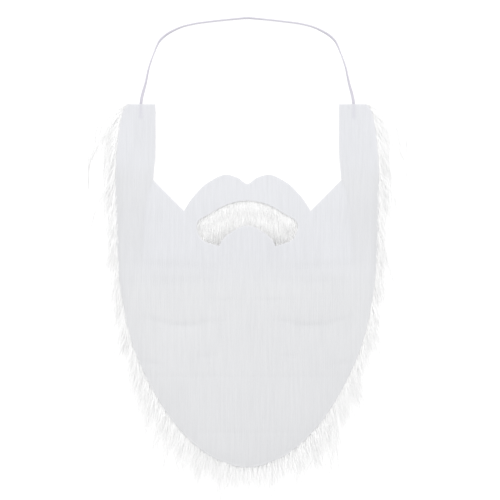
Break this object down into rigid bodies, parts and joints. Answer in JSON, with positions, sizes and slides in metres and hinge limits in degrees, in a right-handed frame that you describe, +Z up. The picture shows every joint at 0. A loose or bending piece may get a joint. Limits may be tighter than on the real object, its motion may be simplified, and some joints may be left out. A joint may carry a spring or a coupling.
{
  "type": "fake beard with moustache",
  "caption": "White faux-fur beard with moustache and mouth hole on a knitted backing, worn with an elastic strap, lying fur down with its backing up.",
  "frame": {"origin": "on the floor, under the middle of the box of the beard without its strap", "axes": "+Y from the chin towards the sideburns and the strap, +Z up out of the backing cloth, +X to the right as seen from above"},
  "size_m": [0.3034, 0.4916, 0.0175],
  "materials": {
    "backing_cloth": "matt knitted cloth with fine ribs",
    "white_fur": "soft long white synthetic pile with a slight sheen",
    "elastic_webbing": "matt pale lavender braided elastic"
  },
  "bodies": {
    "root": {"backing": "backing_cloth", "beard_fur": "white_fur", "elastic_strap": "elastic_webbing"}
  },
  "joints": []
}
